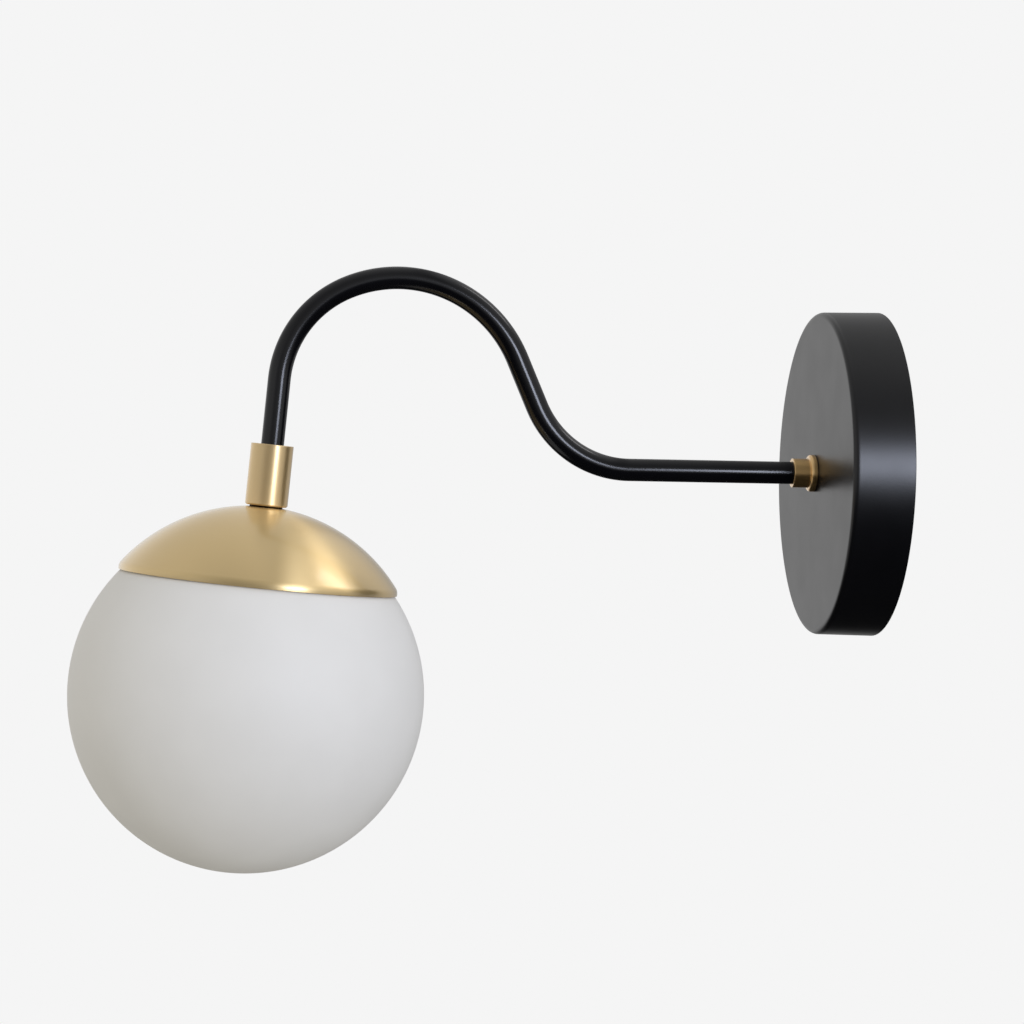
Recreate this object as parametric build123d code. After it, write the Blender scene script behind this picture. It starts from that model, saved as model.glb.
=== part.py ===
from build123d import *
import os
from math import asin, cos, pi, radians, sin, sqrt, tan

# Globe wall sconce. Millimetres, +Z up. The wall is the plane y = 0 and the lamp stands
# out from it towards -Y. The origin is the middle of the wall bracket's back face, on the
# canopy's axis, and the gooseneck arm lies in the plane x = 0.

# ---------------------------------------------------------------- general clearances
bore_gap = 0.1            # radial room round a rod, tube or screw shank in its hole
thread_gap = 0.05         # radial room between a thread and its tapped hole
slide_gap = 0.3           # room round the lamp's base in its holder
edge_gap = 0.4            # room between the bracket's tabs and the canopy's inside

# ---------------------------------------------------------------- canopy on the wall
canopy_diameter = 140.0   # at the wall
canopy_depth = 26.0
canopy_draft = 0.5        # taken off the radius over the depth, from the pressing
canopy_wall = 1.2
canopy_edge_radius = 2.2  # outside edge of the face
side_screw_depth = 10.0   # side screws' distance from the wall
side_screw_diameter = 4.0
side_screw_length = 8.0
side_screw_key = 2.0      # socket across its flats
side_screw_sink = 0.3     # screw end below the canopy's surface

# ---------------------------------------------------------------- wall bracket
bracket_thickness = 2.0
bracket_width = 24.0
bracket_taper = 4.0       # corner cut where the strap narrows to its tabs
tab_width = 16.0
tab_height = 16.0         # from the wall
wall_slot_spacing = 70.0
wall_slot_width = 5.0
wall_slot_length = 24.0
cable_hole_diameter = 16.0
wing_reach = 33.0         # far edge of the wing that carries the terminal block
wing_height = 22.0

# ---------------------------------------------------------------- terminal block
terminal_block_length = 16.0   # along the wires
terminal_block_height = 18.0   # along the wall
terminal_block_depth = 12.0
terminal_block_start = 14.5    # nearest face to the canopy's axis
terminal_pitch = 9.0
terminal_axis_height = 5.5     # of the sleeves above the bracket
terminal_block_corner = 1.0
terminal_sleeve_diameter = 5.0
terminal_sleeve_bore = 3.2
terminal_sleeve_length = 14.0
terminal_screw_spread = 7.6    # between the two screws of one sleeve
terminal_screw_diameter = 2.4
terminal_head_diameter = 3.2
terminal_head_height = 1.8
block_screw_diameter = 3.0
block_head_diameter = 5.2
block_head_height = 2.0
block_head_recess = 3.5
bracket_screw_tip = 0.3        # block and earth screws' tips above the wall

# ---------------------------------------------------------------- earth
earth_screw_diameter = 4.0
earth_head_diameter = 8.0
earth_head_height = 2.4
earth_screw_drop = 14.5        # below the canopy's axis
earth_washer_thickness = 1.0
earth_washer_margin = 0.5      # washer past the screw's head
earth_wire_diameter = 2.2
tag_thickness = 0.8
tag_width = 6.0
tag_reach = 13.5               # from the ring's centre to the tongue's end
tag_crimp = 3.0                # wire laid on the tongue
earth_loop_start = 6.0         # wire's first bend past the canopy's tongue
earth_loop_reach = 13.0        # far side of the wire's loop past the tongues
earth_loop_end = 7.0           # wire's last bend past the bracket's tongue
earth_loop_lean = 1.0          # first bend below the canopy's axis
earth_loop_drop = 7.0          # far side below the canopy's axis

# ---------------------------------------------------------------- threaded lamp rod
rod_diameter = 10.0            # M10 x 1 hollow rod
rod_bore = 7.4
lock_nut_flats = 14.0
lock_nut_thickness = 2.5
lock_washer_diameter = 16.0
lock_washer_thickness = 0.8
lock_washer_teeth = 12
rod_stickout = 0.7             # rod past its nut

# ---------------------------------------------------------------- canopy ferrule
canopy_flange_diameter = 16.1
canopy_flange_thickness = 3.0
canopy_flange_round = 1.3
canopy_collar_diameter = 12.6
canopy_collar_overlap = 0.5    # collar run into the flange
canopy_ferrule_length = 10.0
canopy_rod_engagement = 4.5    # rod inside the ferrule

# ---------------------------------------------------------------- gooseneck arm
arm_diameter = 9.65            # 9.5 mm tube with its powder coat
arm_bore = 7.9
arm_reach = 81.4               # canopy's face to the start of the rise
rise_radius = 44.3
rise_angle = 66.3
climb_length = 21.7
crook_back_radius = 55.5
crook_back_angle = 90.2
crook_front_radius = 47.3
head_tilt = 4.9                # head's lean off plumb, its foot towards the wall
drop_length = 27.8             # end of the crook to the head ferrule's top
arm_lead_diameter = 5.5
bush_flange_diameter = 11.0
bush_flange_thickness = 1.2
bush_sleeve_length = 4.0
lead_stickout = 0.4            # lead's sheath past its bush

# ---------------------------------------------------------------- conductors
conductor_diameter = 1.9
conductor_spread = 2.6         # between the two conductors where they leave the sheath
supply_lead_in = 4.0           # straight run before the terminal block
supply_past_screws = 1.0       # conductor's end past the far clamping screw
lead_end_rise = 2.5            # sheath's lower end above the head rod's end
lamp_lead_drop = 1.5           # conductors' first bend below the head rod's end
lamp_lead_in = 2.0             # conductors' last bend above the holder

# ---------------------------------------------------------------- head ferrule
head_ferrule_diameter = 18.0
head_ferrule_length = 25.6
head_ferrule_socket = 13.0     # tube inside the ferrule
head_ferrule_chamfer = 0.6
ferrule_foot_diameter = 14.0
ferrule_foot_height = 1.0

# ---------------------------------------------------------------- glass globe
globe_diameter = 150.0
globe_wall = 3.0
globe_mouth_diameter = 80.0    # outer edge of the ground mouth

# ---------------------------------------------------------------- brass cap over the globe
cap_wall = 0.8
cap_crown_gap = 4.2            # inside of the crown above the glass sphere
cap_lip_gap = 0.3              # between the lip and the glass
cap_lip_radius = 58.1          # inside of the lip
cap_band_height = 2.0          # short straight band at the lip
cap_flat_radius = 7.5          # flat seat under the ferrule

# ---------------------------------------------------------------- gallery inside the cap
gasket_thickness = 1.4
gasket_margin = 0.3            # gasket inside the mouth's two edges
globe_seat_gap = 0.1           # between the gasket and the ground mouth
gallery_thickness = 1.2
gallery_rim_gap = 0.1          # gallery's edge to the cap's inside
clip_count = 3
clip_thickness = 0.5
clip_width = 8.0
clip_root_radius = 19.0        # inner end of each leaf, from the head's axis
clip_nose_gap = 0.3            # nose to the glass it holds
clip_nose_reach = 4.0          # nose beyond the mouth's inner edge
clip_tail_drop = 6.5           # lead-in ramp below the nose
clip_bend_radius = 1.0
clip_root_gap = 2.6            # clip's first bend inside the mouth's inner edge
clip_neck_gap = 1.4            # clip's neck inside the mouth's inner edge
clip_neck_drop = 2.2           # lower end of the neck under the ground mouth
clip_tail_gap = 1.0            # tail's end inside the mouth's inner edge
rivet_radius_position = 25.0
rivet_diameter = 2.8
rivet_head_diameter = 5.2
rivet_head_height = 0.9

# ---------------------------------------------------------------- lamp holder
holder_length = 24.0           # across the lamp's two pins
holder_width = 17.0
holder_height = 22.0
holder_corner = 3.0
holder_drop = 9.6              # holder's top below the end of the rod
pin_spacing = 9.0
pin_pocket_height = 7.5
pin_pocket_length = 4.4
pin_pocket_width = 3.0
strap_thickness = 1.0
strap_width = 12.0
strap_leg_overlap = 6.0        # legs down the holder's sides
strap_screw_diameter = 3.0
strap_screw_length = 6.0
strap_screw_head = 5.4
strap_screw_head_height = 1.8
contact_height = 6.8
contact_slot = 1.0             # between a contact's two leaves

# ---------------------------------------------------------------- lamp
lamp_base_length = 15.0
lamp_base_width = 6.8
lamp_base_height = 12.7
lamp_base_insertion = 8.7
lamp_collar_height = 3.0
lamp_plug_height = 2.5
lamp_base_corner = 1.0
lamp_diameter = 16.5
lamp_wall = 1.0
lamp_tube_length = 30.0
pin_width = 2.6
pin_thickness = 0.8
pin_length = 6.5
board_width = 11.0
board_thickness = 1.0
board_length = 26.0
chip_size = 2.8
chip_thickness = 0.8
chip_count = 5                 # on each side of the board

# ---------------------------------------------------------------- frames and stack heights
WALL = Plane.XZ                # local x = X, y = Z, z = distance out from the wall
ARM = Plane(origin=(0, 0, 0), x_dir=(0, -1, 0), z_dir=(-1, 0, 0))   # x = out, y = up

# Distances from the wall.
canopy_back_radius = canopy_diameter / 2
canopy_front_radius = canopy_back_radius - canopy_draft
canopy_inside = canopy_depth - canopy_wall
canopy_tag_level = canopy_inside - lock_washer_thickness - tag_thickness
canopy_nut_level = canopy_tag_level - lock_nut_thickness
canopy_rod_end = canopy_nut_level - rod_stickout
canopy_rod_top = canopy_depth + canopy_rod_engagement
canopy_ferrule_front = canopy_depth + canopy_ferrule_length
bush_end = canopy_rod_end - bush_flange_thickness
lead_start = bush_end - lead_stickout
tube_start = canopy_rod_top + bore_gap
crook_front_angle = rise_angle + 90.0 - head_tilt - crook_back_angle
terminal_level = bracket_thickness + terminal_axis_height

# Heights above the globe's centre, along the head's axis.
glass_radius = globe_diameter / 2
glass_inner_radius = glass_radius - globe_wall
mouth_outer = globe_mouth_diameter / 2
mouth_height = sqrt(glass_radius**2 - mouth_outer**2)
mouth_inner = sqrt(glass_inner_radius**2 - mouth_height**2)
gallery_under = mouth_height + globe_seat_gap + gasket_thickness
gallery_top = gallery_under + gallery_thickness
cap_crown = glass_radius + cap_crown_gap
lip_sphere = glass_radius + cap_lip_gap
lip_height = sqrt(lip_sphere**2 - cap_lip_radius**2)
band_top = lip_height + cap_band_height
cap_centre = (cap_crown**2 - cap_lip_radius**2 - band_top**2) / (2 * (cap_crown - band_top))
cap_inner = cap_crown - cap_centre
cap_outer = cap_inner + cap_wall
cap_top = cap_centre + sqrt(cap_outer**2 - cap_flat_radius**2)
gallery_radius = sqrt(cap_inner**2 - (gallery_top - cap_centre) ** 2) - gallery_rim_gap
ferrule_top = cap_top + ferrule_foot_height + head_ferrule_length
tube_end = ferrule_top - head_ferrule_socket
head_rod_top = tube_end - bore_gap
strap_under = gallery_under - strap_thickness
head_nut_under = strap_under - lock_washer_thickness - lock_nut_thickness
head_rod_end = head_nut_under - rod_stickout
holder_top = head_rod_end - holder_drop
holder_bottom = holder_top - holder_height
lamp_base_top = holder_bottom + lamp_base_insertion
pocket_base = lamp_base_top + slide_gap
pocket_top = pocket_base + pin_pocket_height
lamp_collar_top = lamp_base_top - lamp_base_height
envelope_top = lamp_collar_top - lamp_collar_height
strap_screw_height = holder_top - strap_leg_overlap / 2


# ---------------------------------------------------------------- shared shapes
def disc(radius, low, high):
    """Cylinder about the local z axis between two heights."""
    return Pos(0, 0, low) * extrude(Circle(radius), amount=high - low)


def ring(outer, inner, low, high):
    """Round ring about the local z axis between two heights."""
    return Pos(0, 0, low) * extrude(Circle(outer) - Circle(inner), amount=high - low)


def block(x_span, y_span, z_span):
    """Box between pairs of coordinates."""
    (x0, x1), (y0, y1), (z0, z1) = x_span, y_span, z_span
    return Pos((x0 + x1) / 2, (y0 + y1) / 2, (z0 + z1) / 2) * Box(x1 - x0, y1 - y0, z1 - z0)


def centred(size):
    """A span of this size about zero."""
    return (-size / 2, size / 2)


def turned(outline):
    """Solid of revolution about the local z axis from a closed (radius, height) outline."""
    return revolve(Plane.XZ * make_face(outline), Axis.Z)


def across(radius, start, end, plane):
    """Cylinder along a plane's normal, between two distances from its origin."""
    return plane * disc(radius, start, end)


def group(shapes):
    """Separate solids kept together in one node."""
    return Compound([solid for shape in shapes for solid in shape.solids()])


def toothed_washer(low):
    """Lock washer with open notches round its outer edge."""
    outer = lock_washer_diameter / 2
    inner = rod_diameter / 2 + bore_gap
    notch = pi * outer / lock_washer_teeth / 2
    washer = ring(outer, inner, low, low + lock_washer_thickness)
    tooth_root = (outer + inner) / 2
    for step in range(lock_washer_teeth):
        cut = block((tooth_root, outer + 1), centred(notch), (low - 1, low + lock_washer_thickness + 1))
        washer -= Rot(0, 0, step * 360 / lock_washer_teeth) * cut
    return washer


def lock_nut(low):
    """Thin hexagon nut on the hollow rod."""
    hexagon = RegularPolygon(lock_nut_flats / 2, 6, major_radius=False)
    bore = Circle(rod_diameter / 2 + thread_gap)
    return Pos(0, 0, low) * extrude(hexagon - bore, amount=lock_nut_thickness)


def hollow_rod(low, high):
    """Length of M10 hollow rod, drawn at its thread's outside diameter."""
    return ring(rod_diameter / 2, rod_bore / 2, low, high)


def corner_radii(points):
    """Bend radii for a wire: 0.45 of the shorter run, over the tangent of half the turn."""
    radii = []
    for before, corner, after in zip(points, points[1:], points[2:]):
        first = Vector(corner) - Vector(before)
        second = Vector(after) - Vector(corner)
        half_turn = radians(first.get_angle(second)) / 2
        radii.append(0.45 * min(first.length, second.length) / tan(half_turn))
    return radii


def round_wire(points, diameter):
    """Round wire along straight runs joined by tangent arcs."""
    route = FilletPolyline(*points, radius=corner_radii(points))
    return sweep((route ^ 0) * Circle(diameter / 2), path=route)


# ---------------------------------------------------------------- wall side
def tab_face():
    """Height of the bracket tabs' outer face, clear of the canopy's inside."""
    inside = canopy_front_radius - canopy_wall - edge_gap
    return sqrt(inside**2 - (tab_width / 2) ** 2)


def wall_bracket():
    """Slotted strap with a wing for the terminal block and a tapped tab at each end."""
    top = tab_face()
    strap = Rectangle(bracket_width, 2 * top) + Pos(wing_reach / 2, 0) * Rectangle(wing_reach, wing_height)
    ends = strap.vertices().filter_by(lambda v: abs(abs(v.Y) - top) < 0.1)
    strap = chamfer(ends, bracket_taper)
    wing = strap.vertices().filter_by(lambda v: v.X > wing_reach - 0.1)
    strap = fillet(wing, bracket_taper / 2)
    strap -= Circle(cable_hole_diameter / 2)
    for side in (-1, 1):
        slot = SlotOverall(wall_slot_length, wall_slot_width, rotation=90)
        strap -= Pos(0, side * wall_slot_spacing / 2) * slot
    strap -= Pos(0, -earth_screw_drop) * Circle(earth_screw_diameter / 2 + thread_gap)
    strap -= Pos(block_centre(), 0) * Circle(block_screw_diameter / 2 + thread_gap)
    bracket = extrude(strap, amount=bracket_thickness)
    for side in (-1, 1):
        tab = block(centred(tab_width), (top - bracket_thickness, top), (0, tab_height))
        hole = across(side_screw_diameter / 2 + thread_gap, 0, canopy_back_radius, side_screw_axis())
        bracket += Rot(0, 0, 90 - 90 * side) * (tab - hole)
    return WALL * bracket


def side_screw_axis():
    """Plane whose normal runs up the wall frame's local y, at the side screws' depth."""
    return Plane(origin=(0, 0, side_screw_depth), x_dir=(1, 0, 0), z_dir=(0, 1, 0))


def side_screws():
    """Two socket grub screws through the canopy's rim into the bracket's tabs."""
    at_depth = side_screw_depth / canopy_depth
    surface = canopy_back_radius - canopy_draft * at_depth - side_screw_sink
    key = RegularPolygon(side_screw_key / 2, 6, major_radius=False)
    screw = disc(side_screw_diameter / 2, surface - side_screw_length, surface)
    screw -= Pos(0, 0, surface - side_screw_key) * extrude(key, amount=side_screw_key)
    upright = side_screw_axis() * screw
    return WALL * group([upright, Rot(0, 0, 180) * upright])


def block_centre():
    """Middle of the terminal block, out from the canopy's axis."""
    return terminal_block_start + terminal_block_length / 2


def pole_offsets():
    """The two poles' distances up and down the wall."""
    return (-terminal_pitch / 2, terminal_pitch / 2)


def terminal_screw_places():
    """Middle of each terminal screw."""
    along = (-terminal_screw_spread / 2, terminal_screw_spread / 2)
    return [(block_centre() + step, pole) for pole in pole_offsets() for step in along]


def pole_plane(pole):
    """Plane at a pole whose normal runs along the wires, away from the canopy's axis."""
    return Plane(origin=(0, pole, terminal_level), x_dir=(0, 1, 0), z_dir=(1, 0, 0))


def terminal_block():
    """Two-pole moulded block, screwed to the bracket's wing."""
    top = bracket_thickness + terminal_block_depth
    end = terminal_block_start + terminal_block_length
    body = block((terminal_block_start, end), centred(terminal_block_height), (bracket_thickness, top))
    body = fillet(body.edges().filter_by(Axis.Z), terminal_block_corner)
    for pole in pole_offsets():
        body -= across(terminal_sleeve_diameter / 2 + bore_gap, 0, end + 1, pole_plane(pole))
    for x, y in terminal_screw_places():
        body -= Pos(x, y, 0) * disc(terminal_head_diameter / 2 + bore_gap, terminal_level, top + 1)
    fixing = Pos(block_centre(), 0, 0)
    body -= fixing * disc(block_screw_diameter / 2 + bore_gap, 0, top + 1)
    body -= fixing * disc(block_head_diameter / 2 + bore_gap, top - block_head_recess, top + 1)
    return WALL * body


def terminal_sleeves():
    """Tapped brass sleeve of each pole."""
    start = block_centre() - terminal_sleeve_length / 2
    tapped = terminal_screw_diameter / 2 + thread_gap
    outside = terminal_level + terminal_sleeve_diameter
    sleeves = []
    for pole in pole_offsets():
        sleeve = pole_plane(pole) * ring(
            terminal_sleeve_diameter / 2, terminal_sleeve_bore / 2, start, start + terminal_sleeve_length
        )
        for x, y in terminal_screw_places():
            if y == pole:
                sleeve -= Pos(x, y, 0) * disc(tapped, terminal_level, outside)
        sleeves.append(sleeve)
    return WALL * group(sleeves)


def slotted_screw(shank, head, head_base, head_height, tip):
    """Cheese-head screw along the local z axis, with a driver slot."""
    screw = disc(shank / 2, tip, head_base) + disc(head / 2, head_base, head_base + head_height)
    slot_top = head_base + head_height
    return screw - block(centred(head + 1), centred(head / 6), (slot_top - head_height / 2, slot_top + 1))


def terminal_screws():
    """Clamping screws of the two sleeves."""
    sleeve_top = terminal_level + terminal_sleeve_diameter / 2
    wire_top = terminal_level + conductor_diameter / 2 + bore_gap
    screw = slotted_screw(
        terminal_screw_diameter, terminal_head_diameter, sleeve_top + bore_gap, terminal_head_height, wire_top
    )
    return WALL * group([Pos(x, y, 0) * screw for x, y in terminal_screw_places()])


def block_screw():
    """Screw that holds the terminal block to the wing."""
    seat = bracket_thickness + terminal_block_depth - block_head_recess
    head = block_head_diameter, seat, block_head_height
    screw = slotted_screw(block_screw_diameter, *head, bracket_screw_tip)
    return WALL * Pos(block_centre(), 0, 0) * screw


def ring_tag(inner, low, turn):
    """Ring terminal: an eye round a screw or rod, and a barrel towards its wire."""
    eye = disc(inner + tag_width / 2, low, low + tag_thickness)
    tongue = block((-tag_reach, 0), centred(earth_wire_diameter), (low, low + tag_thickness))
    hole = disc(inner, low - 1, low + tag_thickness + 1)
    return Rot(0, 0, turn) * (eye + tongue - hole)


def earth_points():
    """Route of the earth wire, from the canopy's tag to the bracket's tag."""
    canopy_end = canopy_tag_level - earth_wire_diameter / 2
    bracket_end = bracket_thickness + tag_thickness + earth_wire_diameter / 2
    wire_end = tag_reach - tag_crimp
    return [
        (-wire_end, 0, canopy_end),
        (-tag_reach - earth_loop_start, -earth_loop_lean, canopy_end),
        (-tag_reach - earth_loop_reach, -earth_loop_drop, (canopy_end + bracket_end) / 2),
        (-tag_reach - earth_loop_end, -earth_screw_drop, bracket_end),
        (-wire_end, -earth_screw_drop, bracket_end),
    ]


def earth_lead():
    """Earth wire that bonds the canopy to the bracket."""
    return WALL * round_wire(earth_points(), earth_wire_diameter)


def earth_tags():
    """Ring terminals on the canopy's rod and under the earth screw."""
    on_rod = ring_tag(rod_diameter / 2 + bore_gap, canopy_tag_level, 0)
    on_bracket = ring_tag(earth_screw_diameter / 2 + bore_gap, bracket_thickness, 0)
    return WALL * group([on_rod, Pos(0, -earth_screw_drop, 0) * on_bracket])


def earth_washer():
    """Plain washer over the bracket's ring terminal."""
    low = bracket_thickness + tag_thickness
    inner = earth_screw_diameter / 2 + bore_gap
    washer = ring(earth_head_diameter / 2 + earth_washer_margin, inner, low, low + earth_washer_thickness)
    return WALL * Pos(0, -earth_screw_drop, 0) * washer


def earth_screw():
    """Earth screw tapped into the bracket."""
    seat = bracket_thickness + tag_thickness + earth_washer_thickness
    head = earth_head_diameter, seat, earth_head_height
    screw = slotted_screw(earth_screw_diameter, *head, bracket_screw_tip)
    return WALL * Pos(0, -earth_screw_drop, 0) * screw


# ---------------------------------------------------------------- canopy
def canopy_cup(back, front, height, edge):
    """Solid drafted disc with its front edge rounded."""
    outline = Polyline((0, 0), (back, 0), (front, height), (0, height), close=True)
    cup = turned(outline)
    return fillet(cup.edges().filter_by(GeomType.CIRCLE).group_by(Axis.Z)[-1], edge)


def canopy_shell():
    """Pressed cup, open to the wall."""
    shell = canopy_cup(canopy_back_radius, canopy_front_radius, canopy_depth, canopy_edge_radius)
    hollow = canopy_cup(
        canopy_back_radius - canopy_wall,
        canopy_front_radius - canopy_wall,
        canopy_inside,
        canopy_edge_radius - canopy_wall,
    )
    shell -= hollow
    shell -= disc(rod_diameter / 2 + bore_gap, 0, canopy_depth + 1)
    reach = canopy_back_radius + 1
    shell -= across(side_screw_diameter / 2 + bore_gap, -reach, reach, side_screw_axis())
    return WALL * shell


def canopy_ferrule():
    """Brass flange and collar that carry the arm on the canopy."""
    flange_front = canopy_depth + canopy_flange_thickness
    flange = disc(canopy_flange_diameter / 2, canopy_depth, flange_front)
    flange = fillet(flange.edges().group_by(Axis.Z)[-1], canopy_flange_round)
    collar = disc(canopy_collar_diameter / 2, flange_front - canopy_collar_overlap, canopy_ferrule_front)
    collar = chamfer(collar.edges().group_by(Axis.Z)[-1], head_ferrule_chamfer / 2)
    ferrule = flange + collar
    ferrule -= disc(rod_diameter / 2 + thread_gap, canopy_depth - 1, tube_start)
    ferrule -= disc(arm_diameter / 2 + thread_gap, canopy_depth, canopy_ferrule_front + 1)
    return WALL * ferrule


def lead_bush():
    """Insulating bush in the rod's inner end."""
    sleeve = ring(rod_bore / 2 - bore_gap, lead_hole(), bush_end, canopy_rod_end + bush_sleeve_length)
    flange = ring(bush_flange_diameter / 2, lead_hole(), bush_end, canopy_rod_end)
    return WALL * (sleeve + flange)


def lead_hole():
    """Radius of the bush's hole for the arm lead."""
    return arm_lead_diameter / 2 + bore_gap


# ---------------------------------------------------------------- gooseneck arm
def arm_route(start, past_ferrule_top):
    """Centreline of the arm: out, up, over the crook and down into the head ferrule."""
    run = Line((start, 0), (canopy_depth + arm_reach, 0))
    rise = JernArc(run @ 1, run % 1, rise_radius, rise_angle)
    climb = Line(rise @ 1, rise @ 1 + (rise % 1) * climb_length)
    back = JernArc(climb @ 1, climb % 1, crook_back_radius, -crook_back_angle)
    front = JernArc(back @ 1, back % 1, crook_front_radius, -crook_front_angle)
    drop = Line(front @ 1, front @ 1 + (front % 1) * (drop_length + past_ferrule_top))
    return ARM * Wire([run, rise, climb, back, front, drop])


def along_arm(section, route):
    """Section carried along the arm's route."""
    return sweep((route ^ 0) * section, path=route)


def arm_tube():
    """Bent steel tube, from the canopy ferrule into the head ferrule."""
    section = Circle(arm_diameter / 2) - Circle(arm_bore / 2)
    return along_arm(section, arm_route(tube_start, head_ferrule_socket))


def lead_end():
    """Height of the arm lead's lower end, inside the head's rod."""
    return head_rod_end + lead_end_rise


def arm_lead():
    """Two-core sheathed lead through the arm, whole from bush to head."""
    return along_arm(Circle(arm_lead_diameter / 2), arm_route(lead_start, ferrule_top - lead_end()))


def supply_tail(side):
    """One of the lead's cores, from its sheath to its pole of the terminal block."""
    core = side * conductor_spread / 2
    pole = side * terminal_pitch / 2
    pole_end = block_centre() + terminal_screw_spread / 2 + supply_past_screws
    points = [
        (0, core, lead_start),
        (0, core, terminal_level),
        (terminal_block_start - supply_lead_in, pole, terminal_level),
        (pole_end, pole, terminal_level),
    ]
    return WALL * round_wire(points, conductor_diameter)


# ---------------------------------------------------------------- head frame
FERRULE_TOP = arm_route(canopy_depth, 0)
HEAD_DOWN = FERRULE_TOP % 1
GLOBE_CENTRE = FERRULE_TOP @ 1 + HEAD_DOWN * ferrule_top
HEAD = Plane(origin=GLOBE_CENTRE, x_dir=(1, 0, 0), z_dir=-HEAD_DOWN)   # z = up the head's axis


def head_ferrule():
    """Brass coupler between the arm and the cap."""
    low = cap_top + ferrule_foot_height
    body = disc(head_ferrule_diameter / 2, low, ferrule_top)
    body = chamfer(body.edges().group_by(Axis.Z)[0], head_ferrule_chamfer)
    body = chamfer(body.edges().group_by(Axis.Z)[-1], head_ferrule_chamfer / 2)
    body += disc(ferrule_foot_diameter / 2, cap_top, low)
    body -= disc(rod_diameter / 2 + thread_gap, cap_top - 1, tube_end)
    body -= disc(arm_diameter / 2 + thread_gap, cap_top, ferrule_top + 1)
    return HEAD * body


def globe_cap():
    """Spun brass cap: two spheres about one centre, a flat on top, a short straight band below."""
    lip_outer = cap_lip_radius + cap_wall
    outer_band_top = cap_centre + sqrt(cap_outer**2 - lip_outer**2)
    inner_flat_height = cap_top - cap_wall
    inner_flat = sqrt(cap_inner**2 - (inner_flat_height - cap_centre) ** 2)
    middle = asin(cap_lip_radius / cap_inner) / 2
    outer_side = ThreePointArc(
        (cap_flat_radius, cap_top),
        (cap_outer * sin(middle), cap_centre + cap_outer * cos(middle)),
        (lip_outer, outer_band_top),
    )
    inner_side = ThreePointArc(
        (cap_lip_radius, band_top),
        (cap_inner * sin(middle), cap_centre + cap_inner * cos(middle)),
        (inner_flat, inner_flat_height),
    )
    hole = rod_diameter / 2 + bore_gap
    outline = [
        Line((hole, cap_top), (cap_flat_radius, cap_top)),
        outer_side,
        Line((lip_outer, outer_band_top), (lip_outer, lip_height)),
        Line((lip_outer, lip_height), (cap_lip_radius, lip_height)),
        Line((cap_lip_radius, lip_height), (cap_lip_radius, band_top)),
        inner_side,
        Line((inner_flat, inner_flat_height), (hole, inner_flat_height)),
        Line((hole, inner_flat_height), (hole, cap_top)),
    ]
    return HEAD * turned(Curve() + outline)


def clip_angles():
    """Turn of each spring clip about the head's axis, clear of the holder's strap."""
    return [90 + step * 360 / clip_count for step in range(clip_count)]


def gallery_plate():
    """Steel disc that the rod's nut draws up into the cap, carrying gasket and clips."""
    plate = disc(gallery_radius, gallery_under, gallery_top)
    plate -= disc(rod_diameter / 2 + bore_gap, gallery_under - 1, gallery_top + 1)
    hole = disc(rivet_diameter / 2 + thread_gap, gallery_under - 1, gallery_top + 1)
    for angle in clip_angles():
        plate -= Rot(0, 0, angle) * Pos(rivet_radius_position, 0, 0) * hole
    return HEAD * plate


def globe_gasket():
    """Silicone ring between the gallery and the globe's ground mouth."""
    low = gallery_under - gasket_thickness
    return HEAD * ring(mouth_outer - gasket_margin, mouth_inner + gasket_margin, low, gallery_under)


def clip_outline():
    """Middle line of a clip's leaf: root, bend, neck, nose under the glass, and tail."""
    leaf = gallery_under - clip_thickness / 2
    nose = mouth_inner + clip_nose_reach
    glass_over_nose = sqrt(glass_inner_radius**2 - nose**2)
    nose_height = glass_over_nose - clip_thickness - clip_nose_gap
    return [
        (clip_root_radius, leaf),
        (mouth_inner - clip_root_gap, leaf),
        (mouth_inner - clip_neck_gap, mouth_height - clip_neck_drop),
        (nose, nose_height),
        (mouth_inner - clip_tail_gap, nose_height - clip_tail_drop),
    ]


def spring_clips():
    """Spring steel leaves whose noses reach under the glass and hold the globe up."""
    middle_line = FilletPolyline(*clip_outline(), radius=clip_bend_radius)
    leaf = extrude(Plane.XZ * trace(middle_line, clip_thickness), amount=clip_width / 2, both=True)
    leaf -= Pos(rivet_radius_position, 0, 0) * disc(rivet_diameter / 2 + thread_gap, 0, gallery_top)
    return HEAD * group([Rot(0, 0, angle) * leaf for angle in clip_angles()])


def clip_rivets():
    """Rivets that fix the clips to the gallery."""
    low = gallery_under - clip_thickness
    rivet = disc(rivet_diameter / 2, low, gallery_top)
    rivet += disc(rivet_head_diameter / 2, gallery_top, gallery_top + rivet_head_height)
    rivet += disc(rivet_head_diameter / 2, low - rivet_head_height, low)
    rivet = Pos(rivet_radius_position, 0, 0) * rivet
    return HEAD * group([Rot(0, 0, angle) * rivet for angle in clip_angles()])


def globe_glass():
    """Blown glass sphere with a ground mouth under the cap."""
    shell = Sphere(glass_radius) - Sphere(glass_inner_radius)
    return HEAD * (shell - disc(glass_radius, mouth_height, globe_diameter))


# ---------------------------------------------------------------- lamp holder
def holder_strap():
    """Folded strap that hangs the lamp holder from the rod."""
    outside = holder_length / 2 + bore_gap + strap_thickness
    low = holder_top - strap_leg_overlap
    strap = block(centred(2 * outside), centred(strap_width), (low, gallery_under))
    inside = outside - strap_thickness
    strap -= block(centred(2 * inside), centred(strap_width + 1), (low - 1, strap_under))
    strap -= disc(rod_diameter / 2 + bore_gap, strap_under - 1, gallery_under + 1)
    strap -= across(strap_screw_diameter / 2 + bore_gap, -outside - 1, outside + 1, strap_screw_plane())
    return HEAD * strap


def strap_screw_plane():
    """Plane whose normal runs across the holder, at the strap screws' height."""
    return Plane(origin=(0, 0, strap_screw_height), x_dir=(0, 1, 0), z_dir=(1, 0, 0))


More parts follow.
